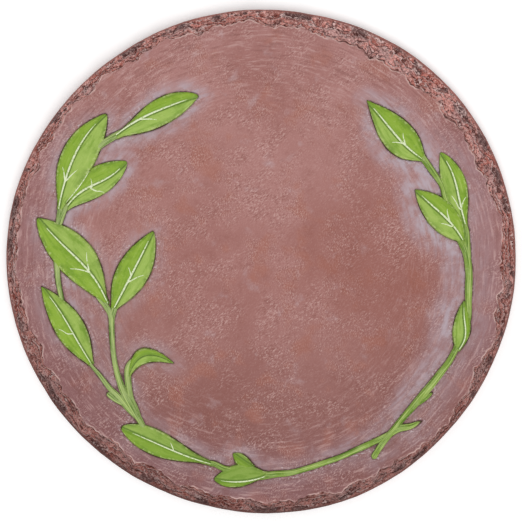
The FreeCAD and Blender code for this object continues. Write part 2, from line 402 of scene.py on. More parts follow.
joined = bmesh.new()
for leaf in LEAVES.values():
    mesh = grown(tree, {
        "Length": leaf.length * MM,
        "Left Bulge": leaf.left_bulge * MM,
        "Left Place": leaf.left_place,
        "Right Bulge": leaf.right_bulge * MM,
        "Right Place": leaf.right_place,
        "Bend": leaf.bend * MM,
        "Sway": leaf.sway * MM,
        "Taper": leaf.taper,
        "Height": leaf.height * MM,
        "Inner Side": leaf.inner_side,
    })
    mesh.transform(leaf_place(leaf))
    joined.from_mesh(mesh)
    bpy.data.meshes.remove(mesh)
bmesh.ops.holes_fill(joined, edges=[edge for edge in joined.edges if edge.is_boundary], sides=0)
bmesh.ops.recalc_face_normals(joined, faces=joined.faces)
mesh = bpy.data.meshes.new("leaves")
joined.to_mesh(mesh)
joined.free()
mesh.materials.append(leaf_paint)
leaves = piece("leaves", mesh)

# The veins: a raised thread down each leaf's middle and a few branches, cast with the leaf
# and picked out by a dry brush in pale cream that the green didn't cover.
VEIN_HALF_WIDTH = 0.66 * MM
VEIN_STEP = 0.9 * MM
VEIN_SINK = 0.05 * MM
VEIN_FLATNESS = 0.5
VEIN_SIDES = 8
RAY_HEIGHT = FACE_HEIGHT + 10 * MM
PLAIN_LEAVES = ("bud", "curled")
FAINT_LEAVES = ("outer", "low", "foot", "stem_bud")
FAINT_SHARE = 0.7
# The middle vein starts at a share of the leaf's length and takes up another share of it.
MIDDLE_START, MIDDLE_SHARE = 0.03, 0.84
MIDDLE_STEPS = 10
# Start and end of each branch: share of the leaf's length, and mm left of the line from base to tip.
BRANCHES = {
    "crown": [(0.37, 2.1, 0.5, -1.9)],
    "shoulder": [(0.31, 5.6, 0.39, 9.6), (0.31, 3.7, 0.43, 0.7)],
    "inner_shoulder": [(0.45, 0.5, 0.51, 5.1), (0.46, -2.1, 0.54, -6.7)],
    "long": [(0.37, -4.9, 0.49, -10.0), (0.35, -3.3, 0.47, 3.9)],
    "upright": [(0.44, -0.5, 0.52, 3.3), (0.4, -1.6, 0.52, -6.9)],
    "outer": [(0.43, 2.0, 0.53, 5.4)],
    "low": [(0.46, -1.0, 0.49, -2.8)],
    "right_crown": [(0.32, 1.3, 0.42, -1.9), (0.33, 2.4, 0.43, 6.6)],
    "right_outer": [(0.28, 0.1, 0.45, 2.0), (0.3, -2.0, 0.38, -5.8)],
    "right_inner": [(0.38, -2.8, 0.5, -6.0), (0.29, -0.8, 0.41, 2.4)],
}
# A branch leaves the middle vein this share of the length before its start, and has its elbow
# at these shares of its way along the leaf and across it.
BRANCH_LEAD = 0.03
ELBOW_ALONG, ELBOW_ACROSS = 0.6, 0.5
BRANCH_WIDTHS = (0.75, 0.7, 0.5, 0.25)
# The seam where the shoulder leaf overlaps the one inside it is picked out too.
SEAM = [(0.12, -1.6), (0.22, -3.1), (0.33, -4.6), (0.46, -5.7)]
SEAM_WIDTHS = (0.3, 0.7, 0.7, 0.4)


def leaf_middle(leaf, t):
    """A point of a leaf's middle line: share of its length, and mm to the left."""
    return t, leaf.bend * 4 * t * (1 - t) + leaf.sway * math.sin(math.tau * t)


def middle_width(step):
    """Share of the full width along a middle vein, which is thin at both ends."""
    return math.sin(math.pi * (0.12 + 0.8 * step)) ** 0.8


def vein_run(name, line, widths):
    """The places on the face that a vein runs through, with its half width at each."""
    leaf = LEAVES[name]
    width = VEIN_HALF_WIDTH * (FAINT_SHARE if name in FAINT_LEAVES else 1.0)
    spots = [leaf_place(leaf) @ Vector((t * leaf.length * MM, y * MM, 0.0)) for t, y in line]
    return [(*spot, width * share) for spot, share in zip(spots, widths)]


def polyline(name, runs):
    """A mesh of bare runs of points, each point with its half width."""
    points = [point for run in runs for point in run]
    edges = []
    start = 0
    for run in runs:
        edges += [(start + i, start + i + 1) for i in range(len(run) - 1)]
        start += len(run)
    mesh = bpy.data.meshes.new(name)
    mesh.from_pydata([point[:3] for point in points], edges, [])
    values = mesh.attributes.new("half_width", "FLOAT", "POINT")
    values.data.foreach_set("value", [point[3] for point in points])
    return mesh


def smooth_line(tree, size):
    """The source's runs of points as smooth lines of even steps, and their half width."""
    line = wired(tree, "GeometryNodeMeshToCurve", {0: size["Source"]})
    line = wired(tree, "GeometryNodeCurveSplineType", {0: line}, spline_type="CATMULL_ROM")
    line = wired(tree, "GeometryNodeResampleCurve", {0: line, "Length": size["Step"]}, mode="LENGTH")
    return line, wired(tree, "GeometryNodeInputNamedAttribute", {0: "half_width"})


def unit_ring(tree, sides):
    return wired(tree, "GeometryNodeCurvePrimitiveCircle", {"Resolution": sides, "Radius": 1.0})


def tube_along(tree, line, half_width, ring, flatness):
    """A closed tube along a line, its ring as wide as the line says and pressed flat."""
    line = wired(tree, "GeometryNodeSetCurveRadius", {0: line, "Radius": half_width})
    line = wired(tree, "GeometryNodeSetCurveNormal", {0: line}, mode="Z_UP")
    flat = wired(tree, "GeometryNodeTransform", {0: ring, "Scale": vector(tree, 1.0, flatness, 1.0)})
    radius = wired(tree, "GeometryNodeInputRadius")
    return wired(tree, "GeometryNodeCurveToMesh", {0: line, 1: flat, "Fill Caps": True, "Scale": radius})


vein_runs = []
for name, leaf in LEAVES.items():
    if name in PLAIN_LEAVES:
        continue
    steps = [i / MIDDLE_STEPS for i in range(MIDDLE_STEPS + 1)]
    middle = [leaf_middle(leaf, MIDDLE_START + MIDDLE_SHARE * step) for step in steps]
    vein_runs.append(vein_run(name, middle, [middle_width(step) for step in steps]))
    for t0, y0, t1, y1 in BRANCHES.get(name, []):
        elbow = t0 + ELBOW_ALONG * (t1 - t0), y0 + ELBOW_ACROSS * (y1 - y0)
        branch = [leaf_middle(leaf, t0 - BRANCH_LEAD), (t0, y0), elbow, (t1, y1)]
        vein_runs.append(vein_run(name, branch, BRANCH_WIDTHS))
vein_runs.append(vein_run("shoulder", SEAM, SEAM_WIDTHS))

BARE_GREEN = colour(160, 190, 92)
CREAM = colour(226, 235, 198)
vein_paint, tree, shader, place = paint("vein_cream", roughness=0.7, shine=0.25)
worn = grain(tree, place, 1.2 * MM, 3.0, 0.6)
feed(shader.inputs["Base Color"], laid(tree, BARE_GREEN, CREAM, worn.rise(0.32, 0.5)))
bumped(tree, shader, worn, 0.15 * MM, 0.5)

tree, size = shape_tree("leaf_veins", ("Step", "Sink", "Flatness"))
line, half_width = smooth_line(tree, size)
x, y, _ = split(tree, where(tree))
relief = wired(tree, "GeometryNodeObjectInfo", {0: leaves}, "Geometry")
ray = {
    0: relief,
    "Source Position": vector(tree, x, y, RAY_HEIGHT),
    "Ray Direction": vector(tree, 0.0, 0.0, -1.0),
}
on_leaf = wired(tree, "GeometryNodeRaycast", ray, "Hit Position")
sunk = vector(tree, 0.0, 0.0, -size["Sink"])
line = wired(tree, "GeometryNodeSetPosition", {0: line, "Position": on_leaf, "Offset": sunk})
tube = tube_along(tree, line, half_width, unit_ring(tree, VEIN_SIDES), size["Flatness"])
end_tree(tree, tube, vein_paint)
vein_sizes = {"Step": VEIN_STEP, "Sink": VEIN_SINK, "Flatness": VEIN_FLATNESS}
piece("veins", grown(tree, vein_sizes, polyline("vein_lines", vein_runs)))

# The stems: two sprigs that cross at the lower right, with short stalks and cut twigs, half-round
# in section, concrete in one with the stone and brushed with a duller green.
STEM_STEP = 1.2 * MM
STEM_FLATNESS = 0.9
STEM_SIDES = 18
STEM_SETBACK = 0.1 * MM
# A cut end is rounded over this length, down to this share of the half width.
END_ROUND, END_SHARE = 2.0 * MM, 0.15
KNOB_SIZE = 14 * MM
FIBRES_AROUND, FIBRE_LENGTH = 18.0, 24 * MM
# Height of the middle line above the face, and the points it runs through with its half width there,
# all in mm. A stem that carries a leaf thins out inside the leaf's base.
STEMS = {
    "bottom": (-0.2, [
        (-5.6, -128.1, 1.1), (-1, -128.7, 2.3), (7.4, -127.4, 2.2), (17.8, -126.4, 2.0), (27.8, -123.7, 1.9),
        (36.3, -120.9, 1.9), (45.9, -117.6, 1.9), (54.3, -114, 2.0), (63.8, -109.6, 2.0), (74.9, -104.4, 2.1),
        (81.4, -100.3, 2.4), (88.4, -98.9, 2.0), (92.4, -97.1, 1.4), (94.5, -96.1, 0.8), (96.1, -95.5, 0.4),
    ]),
    "right": (-0.3, [
        (115.2, 13.5, 1.0), (119.1, 10.4, 2.6), (122.1, 3, 2.4), (123.5, -7.9, 2.4), (123.3, -16.4, 2.4),
        (123.2, -25, 2.3), (123, -36.7, 1.9), (118.6, -46.7, 1.8), (114.6, -53.6, 1.9),
    ]),
    "right_outer_stalk": (-0.2, [(121, 24.8, 0.8), (121.9, 16.9, 2.0), (122.5, 7.9, 2.2), (123.1, -1, 2.0)]),
    "crossing": (0.4, [
        (119.6, -45.1, 0.8), (116, -52.4, 1.8), (111.7, -60.3, 2.0), (107.1, -66.5, 2.2), (101.2, -74.1, 2.3),
        (95.5, -80.7, 2.4), (89.2, -88.3, 2.2), (83.6, -94.7, 2.0), (78.9, -100.7, 2.0), (73.9, -106.6, 2.0),
        (69.7, -112.6, 1.9), (66.3, -118.2, 2.1),
    ]),
    "cut_twig": (0.0, [(87.6, -88.8, 1.8), (92.2, -85.6, 1.8), (97.3, -82.5, 1.6), (102.1, -78.6, 0.9)]),
    "left": (0.1, [
        (-70.9, -100.8, 1.8), (-70.7, -97.8, 2.0), (-77.8, -85.6, 2.4), (-82.3, -76.7, 2.2),
        (-85.9, -65.5, 1.8), (-87.9, -53.8, 1.7), (-88.7, -41.5, 1.8), (-89.1, -33.3, 1.9),
        (-92.3, -27.2, 1.9), (-96.8, -21.9, 1.5), (-100.4, -16.9, 0.8),
    ]),
    "upright_stalk": (0.0, [
        (-89, -44, 1.6), (-88.6, -35.1, 1.8), (-86.9, -28.3, 2.0), (-83.4, -22.8, 1.3), (-81.4, -17.4, 0.5),
    ]),
    "outer_stalk": (-0.1, [
        (-104, -57.5, 1.2), (-100.4, -63.2, 1.3), (-95.9, -68.4, 1.5), (-90, -76.1, 1.8), (-84.6, -81.6, 2.1),
        (-78.4, -88.9, 1.9), (-70.7, -96.5, 1.5),
    ]),
    "left_twig": (-0.2, [(-77.6, -87.3, 1.9), (-86.3, -82.9, 1.9), (-91.7, -78.7, 1.9)]),
    "curled_stalk": (0.0, [
        (-70.5, -99.3, 1.5), (-74.4, -88.4, 1.8), (-77.6, -81.2, 2.0), (-79, -71.5, 2.1), (-78.8, -64.3, 2.2),
        (-76.1, -59.8, 1.7), (-71.6, -57.6, 0.8),
    ]),
    "upper_left": (-0.4, [
        (-118.1, 37.2, 1.2), (-119.4, 28.3, 2.1), (-121.6, 8.1, 2.2), (-121, -6.9, 2.0), (-120.2, -14.5, 1.9),
        (-117.9, -25.8, 1.9),
    ]),
    "crown_stalk": (-0.2, [
        (-97.9, 66.5, 2.5), (-93.9, 69.3, 2.4), (-88, 72.9, 2.3), (-82, 76.8, 1.6), (-77.1, 79.9, 0.8),
    ]),
    "inner_shoulder_stalk": (-0.2, [
        (-114.1, 34.8, 0.8), (-116.4, 30.4, 1.8), (-118.7, 25.4, 2.2), (-120.1, 19.9, 2.0),
    ]),
    "right_crown_stalk": (-0.2, [
        (93.8, 65.2, 1.0), (96.7, 59.9, 2.2), (106.8, 45.1, 1.7), (110, 35.1, 1.9), (119, 21, 1.7),
        (121.3, 10.5, 1.6),
    ]),
    "low_stalk": (-0.2, [(-36.5, -120.7, 1.0), (-29.5, -120.6, 1.7), (-21.5, -124, 2.0), (-14, -125.1, 2.2)]),
    "bud_stalk": (-0.2, [(-4.2, -121.6, 0.7), (-2.7, -124.5, 1.1), (0.8, -126.1, 1.3), (5.9, -127.2, 1.6)]),
}
STEM_COLOURS = {
    "plain": colour(126, 155, 60),
    "pale_patches": colour(146, 170, 90),
    "dusty_left": colour(174, 186, 134),
    "dark_fibres": colour(76, 112, 18),
    "pale_fibres": colour(190, 210, 122),
    "brush_marks": colour(182, 194, 136),
    "corner_dirt": colour(66, 40, 32),
}

stem_paint, tree, shader, place = paint("stem_green", roughness=0.6, shine=0.25)
x, _, height = split(tree, place)
patches = grain(tree, place, 7 * MM, 4.0)
strokes = grain(tree, place, 1.5 * MM, 3.0, 0.6)
down_stem = carried(tree, "along") / FIBRE_LENGTH
lengthwise = vector(tree, carried(tree, "around") * FIBRES_AROUND, down_stem, 0.0)
fibres = grain(tree, lengthwise, 1.0, 2.0, 0.5)
green = coated(
    tree,
    STEM_COLOURS["plain"],
    STEM_COLOURS,
    pale_patches=patches.rise(0.35, 0.65),
    # paler, duller stems on the left: dust and a painted sheen
    dusty_left=x.fall(-95 * MM, -30 * MM) * 0.45,
    # dark and pale lines along the stems: painted shade in their grooves and painted highlight on their
    # ridges
    dark_fibres=fibres.fall(0.38, 0.46) * 0.8,
    pale_fibres=fibres.rise(0.55, 0.63) * 0.75,
    brush_marks=strokes.rise(0.52, 0.75) * 0.4,
    # painted shade and dirt darken the foot of the stem where it meets the face
    corner_dirt=height.fall(FACE_HEIGHT + 0.2 * MM, FACE_HEIGHT + 0.9 * MM),
)
feed(shader.inputs["Base Color"], green)
bumped(tree, shader, fibres * 0.8 + strokes * 0.4, 0.5 * MM, 0.7)

tree, size = shape_tree("stems", ("Step", "Flatness"))
line, half_width = smooth_line(tree, size)
done = wired(tree, "GeometryNodeSplineParameter", output="Length")
to_end = done.math("MINIMUM", wired(tree, "GeometryNodeSplineLength") - done)
round_end = (1.0 - (1.0 - to_end.part(0.0, END_ROUND)) ** 2).math("SQRT").math("MAXIMUM", END_SHARE)
knobs = 0.85 + 0.3 * grain(tree, where(tree), KNOB_SIZE, 2.0)
around = wired(tree, "GeometryNodeSplineParameter", output="Factor")
ring = kept(tree, unit_ring(tree, STEM_SIDES), around=around)
line = kept(tree, line, along=done)
tube = tube_along(tree, line, (half_width - STEM_SETBACK) * round_end * knobs, ring, size["Flatness"])
end_tree(tree, tube, stem_paint)
stem_runs = [
    [(x * MM, y * MM, FACE_HEIGHT + lift * MM, half * MM) for x, y, half in run]
    for lift, run in STEMS.values()
]
stem_sizes = {"Step": STEM_STEP, "Flatness": STEM_FLATNESS}
stems = piece("stems", grown(tree, stem_sizes, polyline("stem_lines", stem_runs)))

# The disc: one casting of coloured concrete, brushed smooth on the face, its rim broken like
# split stone. A pale wash was wiped over it and has stayed round the wreath and along the break.
STONE_RADIUS = cad_box[1][0]
DISC_SEGMENTS = 960
FACE_RINGS, EDGE_RINGS, BREAK_RINGS, WALL_RINGS, BASE_RINGS = 60, 3, 26, 8, 5
# The middle of the face is bare, so its first few rings reach this share of the way out.
BARE_RINGS, BARE_SHARE = 8, 0.38
# Waves of the outline: how many round the stone, height in mm and the angle of a crest.
OUTLINE_WAVES = ((1, 0.81, -25.8), (2, 0.86, 4.1), (3, 0.88, 47.4), (4, 0.22, 13.8), (6, 0.24, -12.7))
# The waves swing about a circle this far inside the full size, and small bumps ride on them.
OUTLINE_INSET = 1.3 * MM
BUMP_HEIGHT, BUMP_SHARE = 1.0 * MM, 0.15
# The outline stays this far inside the full square of the stone, and bends over softly.
SQUARE_GAP, SQUARE_SOFTNESS = 0.2 * MM, 0.4 * MM
# Scallops and nicks of the break in one radius, and the size of its jags as a share of the radius.
SCALLOPS_A_RADIUS, NICKS_A_RADIUS, JAG_SHARE = 9.0, 34.0, 0.035
LEAST_BITE = 3.0 * MM
SWELL_SHARPNESS = 6.0
BRINK_WIDTH, BRINK_DROP = 1.2 * MM, 0.35 * MM
# The lip under the break wavers, and keeps clear of the face and of the foot.
LIP_WAVER, LIP_BELOW_FACE, LIP_ABOVE_FOOT = 7 * MM, 5 * MM, 1.5 * MM
BREAK_SAG = 0.45
HEEL_SHARE = 0.4
# Room that the rock's patterns have down the break and the wall, and a squeeze along the rim.
BREAK_ROOM, WALL_ROOM, RIM_SQUEEZE = 13 * MM, 10 * MM, 0.65
LAYERS, LAYER_WAVER = 2.5, 4.5
DISH_DEPTH, DISH_REACH = 0.35 * MM, 3.0 * MM
WAVE_HEIGHT, WAVE_SIZE = 0.5 * MM, 45 * MM
MERGE_DISTANCE = 0.005 * MM
# Brush strokes: the slant of the two kinds in degrees, and how thin they are for their length.
SCUFF_SLANT, HATCH_SLANT, STROKE_THINNESS = 38, 68, 0.4
SWEEP_LENGTH = 16 * MM
# Added to the square of the way from the middle, so that nothing is divided by zero there.
MIDDLE_GUARD = 1e-6
# The wash has worn off in a spot on the right, with a ragged edge.
WORN_SPOT, WORN_SPOT_WAVER = (72 * MM, -6 * MM), 60 * MM
WASH_REACH = 10 * MM
# Fine broken lines and flat layers of the rock.
FINE_LINES, FINE_FLATNESS, STRATA_FLATNESS = 4.5, 2.4, 5.0

CLAY_COLOURS = {
    "plain": colour(161, 111, 105),
    "clouds": colour(175, 127, 122),
    "low_shade": colour(118, 74, 68),
    "warm_patches": colour(168, 108, 92),
    "mottle": colour(140, 88, 80),
    "worn_spot": colour(146, 88, 76),
    "lilac_border": colour(140, 108, 116),
    "pale_strokes": colour(212, 176, 170),
    "dark_strokes": colour(126, 76, 68),
    "pale_sweeps": colour(204, 168, 164),
    "dark_sweeps": colour(122, 78, 72),
    "chalk": colour(192, 170, 174),
    "wash": colour(186, 170, 179),
    "relief_dirt": colour(72, 44, 38),
    "flecks": colour(222, 208, 212),
    "worn_break": colour(176, 128, 121),
    "ledge_shadow": colour(76, 44, 38),
    "crest": colour(226, 192, 185),
}
ROCK_COLOURS = {
    "plain": colour(250, 178, 168),
    "crumbs": colour(212, 141, 131),
    "pale_layers": colour(216, 176, 174),
    "dark_layers": colour(162, 101, 92),
    "rust": colour(190, 100, 84),
    "outer_stains": colour(84, 66, 67),
    "hollows": colour(90, 44, 38),
    "dark_lines": colour(96, 42, 36),
    "pale_lines": colour(255, 212, 205),
    "dark_specks": colour(88, 40, 34),
    "pale_specks": colour(255, 214, 207),
    "step_shadow": colour(80, 34, 29),
    "step_edge": colour(255, 222, 217),
    "rim_stains": colour(70, 54, 55),
    "low_shade": colour(66, 38, 34),
    "low_edge": colour(50, 32, 30),
}
SIDE_COLOURS = {
    "plain": colour(188, 124, 115),
    "layers": colour(150, 93, 85),
    "dark_seams": colour(98, 60, 54),
    "pale_seams": colour(216, 172, 165),
    "crumbs": colour(116, 72, 66),
}


def brushed(tree, place, slant, size):
    """Noise drawn out into short strokes at a slant."""
    turned = {0: place, "Rotation": (0.0, 0.0, math.radians(slant)), "Scale": (1.0, STROKE_THINNESS, 1.0)}
    slanted = wired(tree, "ShaderNodeMapping", turned, vector_type="TEXTURE")
    return grain(tree, slanted, size, 2.0, 0.6)


stone_paint, tree, shader, place = paint("terracotta_concrete", roughness=0.9, shine=0.15)
x, y, z = split(tree, place)
broken, crest, near = [carried(tree, name) for name in ("broken", "crest", "relief_distance")]
clouds = grain(tree, place, 42 * MM, 4.0)
mottle = grain(tree, place, 8 * MM, 4.0, 0.6)
warmth = grain(tree, place, 17 * MM, 2.0)
dust = grain(tree, place, 23 * MM, 3.0)
dusty = 0.25 + 0.75 * dust.rise(0.4, 0.6)
scuffs = brushed(tree, place, SCUFF_SLANT, 1.35 * MM)
hatches = brushed(tree, place, HATCH_SLANT, 1.2 * MM)
stroke = hatches + (scuffs - hatches) * warmth.rise(0.42, 0.55)
from_middle = (x * x + y * y + MIDDLE_GUARD).math("SQRT")
round_place = vector(tree, x / from_middle * SWEEP_LENGTH, y / from_middle * SWEEP_LENGTH, from_middle)
sweeps = grain(tree, round_place, 1.4 * MM, 3.0, 0.6)
smears = grain(tree, round_place, 2.6 * MM, 3.0)
swept_zone = from_middle.rise(60 * MM, 135 * MM)
spot_x, spot_y = x - WORN_SPOT[0], y - WORN_SPOT[1]
from_spot = (spot_x * spot_x + spot_y * spot_y).math("SQRT") + (dust - 0.5) * WORN_SPOT_WAVER
warm_corner = (-y).rise(50 * MM, 100 * MM) * x.rise(20 * MM, 80 * MM)
lilac = 0.36 - 0.3 * y.rise(50 * MM, 110 * MM) - 0.3 * warm_corner
upper_left = y.rise(0.0, 60 * MM) * x.fall(0.0, 60 * MM)
washed = 0.35 + 0.75 * x.rise(0.0, 110 * MM) + 0.5 * upper_left
washed = washed + 0.6 * (-x).rise(100 * MM, 122 * MM) + 0.3 * (-y).rise(90 * MM, 125 * MM)
washed = washed * (1.0 - 0.68 * from_middle.rise(113 * MM, 129 * MM))
wash = (near / (1.0 + 0.9 * x.rise(40 * MM, 100 * MM))).fall(0.0, WASH_REACH)
wash = wash * (0.45 + 0.55 * mottle.rise(0.36, 0.58)) * (0.5 + 0.5 * smears.rise(0.36, 0.58))
flecks = near.rise(0.5 * MM, 0.9 * MM) * near.fall(1.4 * MM, 2.2 * MM)
flecks = flecks * grain(tree, place, 1.3 * MM, 3.0).rise(0.54, 0.62)
clay = coated(
    tree,
    CLAY_COLOURS["plain"],
    CLAY_COLOURS,
    clouds=clouds.rise(0.3, 0.68),
    low_shade=(from_middle * 0.6 - y).rise(0.0, 230 * MM) * 0.72,
    warm_patches=warmth.fall(0.3, 0.46) * 0.5,
    mottle=mottle.rise(0.5, 0.78) * 0.35,
    worn_spot=from_spot.fall(10 * MM, 70 * MM) * 0.5,
    lilac_border=from_middle.rise(95 * MM, 138 * MM) * lilac,
    pale_strokes=stroke.rise(0.52, 0.66) * dusty * 0.6,
    dark_strokes=stroke.fall(0.34, 0.47) * dusty * 0.55,
    pale_sweeps=sweeps.rise(0.53, 0.68) * swept_zone * 0.45,
    dark_sweeps=sweeps.fall(0.34, 0.46) * swept_zone * 0.35,
    chalk=grain(tree, place, 13 * MM, 4.0).rise(0.58, 0.78) * (0.3 + stroke) * 0.5,
    wash=wash * washed,
    # dark line where the face meets the relief: painted shade and dirt in the corner
    relief_dirt=near.fall(0.2 * MM, 1.0 * MM) * (0.3 + 0.4 * mottle.rise(0.4, 0.6)),
    flecks=flecks * dust.rise(0.44, 0.58) * 0.6,
)

# The broken rim shows split layers, stains, crumbs and specks, with painted shade in its hollows and cracks
# and painted highlights on its ridges and step edges, and gets darker low on the stone.
stains = grain(tree, place, 14 * MM, 3.0)
crumbs = grain(tree, place, 1.8 * MM, 3.0, 0.65)
specks = grain(tree, place, 1.3 * MM, 2.0, 0.6)
layer = carried(tree, "layers") + (crumbs - 0.5) * 0.9
tread = layer.math("FRACT")
every_other = (layer.math("FLOOR") * 0.5).math("FRACT") * 2.0
patch = stains + (every_other - 0.5) * 0.12
out = carried(tree, "break_share")
fine = (grain(tree, vector(tree, x, y, z * FINE_FLATNESS), 4.4 * MM, 3.0, 0.6) * FINE_LINES).math("FRACT")
rock = coated(
    tree,
    ROCK_COLOURS["plain"],
    ROCK_COLOURS,
    crumbs=crumbs.rise(0.42, 0.6),
    pale_layers=patch.rise(0.56, 0.62) * 0.6,
    dark_layers=patch.fall(0.36, 0.42) * 0.8,
    rust=warmth.rise(0.48, 0.6) * 0.55,
    outer_stains=out.rise(0.45, 0.75) * stains.rise(0.48, 0.54) * 0.75,
    # darker in the deepest hollows of the break: painted shade
    hollows=carried(tree, "hollow").rise(0.66, 0.98) * 0.35,
    # fine dark cracks are painted shade, and the pale ridge lines beside them drybrush and painted highlight
    dark_lines=fine.fall(0.1, 0.26) * 0.6,
    pale_lines=fine.rise(0.74, 0.88) * 0.6,
    dark_specks=specks.fall(0.34, 0.44) * 0.8,
    pale_specks=specks.rise(0.56, 0.66) * 0.7,
    step_shadow=tread.fall(0.06, 0.22) * 0.9,
    # pale upper lip of each step: painted highlight, paired with the painted step shadow below it
    step_edge=tread.rise(0.78, 0.92) * (0.25 + 0.75 * mottle.rise(0.4, 0.54)) * 0.9,
)
strata = grain(tree, vector(tree, x, y, z * STRATA_FLATNESS), 16 * MM, 4.0, 0.65)
side = coated(
    tree,
    SIDE_COLOURS["plain"],
    SIDE_COLOURS,
    layers=strata.rise(0.42, 0.6),
    dark_seams=strata.fall(0.34, 0.42) * 0.6,
    pale_seams=strata.rise(0.56, 0.62) * strata.fall(0.62, 0.66) * 0.5,
    crumbs=crumbs.rise(0.5, 0.66) * 0.5,
)
rock = laid(tree, rock, side, (out + (mottle - 0.5) * 0.2).rise(0.95, 1.0) * 0.9)
outer_band = (out + (crumbs - 0.5) * 0.5).rise(0.7, 0.85) * z.rise(8 * MM, 14 * MM)
rock = coated(
    tree,
    rock,
    ROCK_COLOURS,
    rim_stains=outer_band * stains.rise(0.52, 0.57) * 0.5,
    low_shade=(150 * MM - y).rise(0.0, 300 * MM) * 0.56,
    low_edge=out.rise(0.8, 1.0) * (-y - 0.4 * x).rise(100 * MM, 150 * MM) * 0.4,
)
ledge = out + (mottle - 0.5) * 0.7
clay = coated(
    tree,
    clay,
    CLAY_COLOURS,
    worn_break=broken * 0.5,
    ledge_shadow=broken * ledge.rise(0.02, 0.06) * 0.8,
)
clay = laid(tree, clay, rock, broken * ledge.rise(0.07, 0.12))
# The pale line along the crest of the break is drybrush and a painted highlight.
clay = coated(tree, clay, CLAY_COLOURS, crest=crest * mottle.rise(0.4, 0.56) * stains.rise(0.36, 0.5) * 0.9)
feed(shader.inputs["Base Color"], clay)
relief = mottle * 0.3 + stroke * dusty * 0.4 + sweeps * 0.2 + (crumbs + tread * 0.6) * broken * 1.5
bumped(tree, shader, relief, 1.0 * MM, 0.8)

tree, size = shape_tree("broken_disc", (
    "Radius", "Thickness", "Lip Height", "Lip Inset", "Foot Height", "Base Inset", "Base Round", "Bite",
    "Wide Swell", "Wide Swell Angle", "Lesser Swell", "Lesser Swell Angle", "Scallop Depth", "Rock Depth",
))
rings = FACE_RINGS + EDGE_RINGS + BREAK_RINGS + WALL_RINGS + BASE_RINGS
grid = wired(tree, "GeometryNodeMeshGrid", {0: 1.0, 1: 1.0, 2: rings + 1, 3: DISC_SEGMENTS + 1})
x, y, _ = split(tree, where(tree))
ring = (x + 0.5) * rings
turn = (y + 0.5) * math.tau
cosine, sine = turn.math("COSINE"), turn.math("SINE")
circle = vector(tree, cosine, sine, 0.0)
# How far a ring is along each stretch of the section, from the middle of the face to that of the base.
bare = ring.part(0.0, BARE_RINGS)
wreathed = ring.part(BARE_RINGS, FACE_RINGS - BARE_RINGS)
brink = ring.part(FACE_RINGS, EDGE_RINGS)
slope = ring.part(FACE_RINGS + EDGE_RINGS, BREAK_RINGS)
wall = ring.part(FACE_RINGS + EDGE_RINGS + BREAK_RINGS, WALL_RINGS)
upper_wall, lower_wall = wall.part(0.0, 0.5), wall.part(0.5, 0.5)
base = ring.part(rings - BASE_RINGS, BASE_RINGS)
heel, sole = base.part(0.0, HEEL_SHARE), base.part(HEEL_SHARE, 1 - HEEL_SHARE)
# The outline, and how far the break bites in from it.
outline = size["Radius"] - OUTLINE_INSET
for count, wave, angle in OUTLINE_WAVES:
    outline = outline + wave * MM * ((turn - math.radians(angle)) * float(count)).math("COSINE")
outline = outline + BUMP_HEIGHT * (grain(tree, circle, BUMP_SHARE, 2.0) - 0.5)
square = size["Radius"] / abs(cosine).math("MAXIMUM", abs(sine))
outline = outline.math("SMOOTH_MIN", square - SQUARE_GAP, SQUARE_SOFTNESS)
scallops, nicks = [
    wired(tree, "ShaderNodeTexVoronoi", {"Vector": circle, "Scale": scale}, voronoi_dimensions="2D")
    for scale in (SCALLOPS_A_RADIUS, NICKS_A_RADIUS)
]
jags = grain(tree, circle, JAG_SHARE, 3.0)
bite = size["Bite"] + size["Scallop Depth"] * (0.75 - scallops * 1.6)
bite = bite + size["Scallop Depth"] * (0.5 * (0.5 - nicks) + 0.8 * (jags - 0.5))
for swell in ("Wide Swell", "Lesser Swell"):
    facing = (1.0 + (turn - size[swell + " Angle"]).math("COSINE")) * 0.5
    bite = bite + size[swell] * facing**SWELL_SHARPNESS
bite = bite.math("MAXIMUM", LEAST_BITE)
lip_radius = outline - size["Lip Inset"]
lip_height = size["Lip Height"] - 0.5 * (bite - size["Bite"]) + LIP_WAVER * (jags - 0.5)
lip_height = lip_height.math("MINIMUM", size["Thickness"] - LIP_BELOW_FACE)
lip_height = lip_height.math("MAXIMUM", size["Foot Height"] + LIP_ABOVE_FOOT)
# The plain section, out over the face, down the break and the wall and in under the base.
face_share = bare * BARE_SHARE + wreathed * (1.0 - BARE_SHARE)
radius = (outline - bite - BRINK_WIDTH) * face_share + brink * BRINK_WIDTH
radius = radius + (lip_radius - outline + bite) * slope
radius = radius + size["Lip Inset"] * upper_wall - size["Base Inset"] * lower_wall
radius = (radius - size["Base Round"] * heel**2) * (1.0 - sole)
height = size["Thickness"] - BRINK_DROP * brink**2 + BRINK_DROP * slope.rise(0.0, 0.1)
height = height - (size["Thickness"] - lip_height) * ((1 + BREAK_SAG) * slope - BREAK_SAG * slope**2)
height = height - (lip_height - size["Foot Height"]) * upper_wall
height = height - (size["Foot Height"] - size["Base Round"]) * lower_wall
height = height - size["Base Round"] * (1.0 - (1.0 - heel) ** 2)
plain = vector(tree, radius * cosine, radius * sine, height)
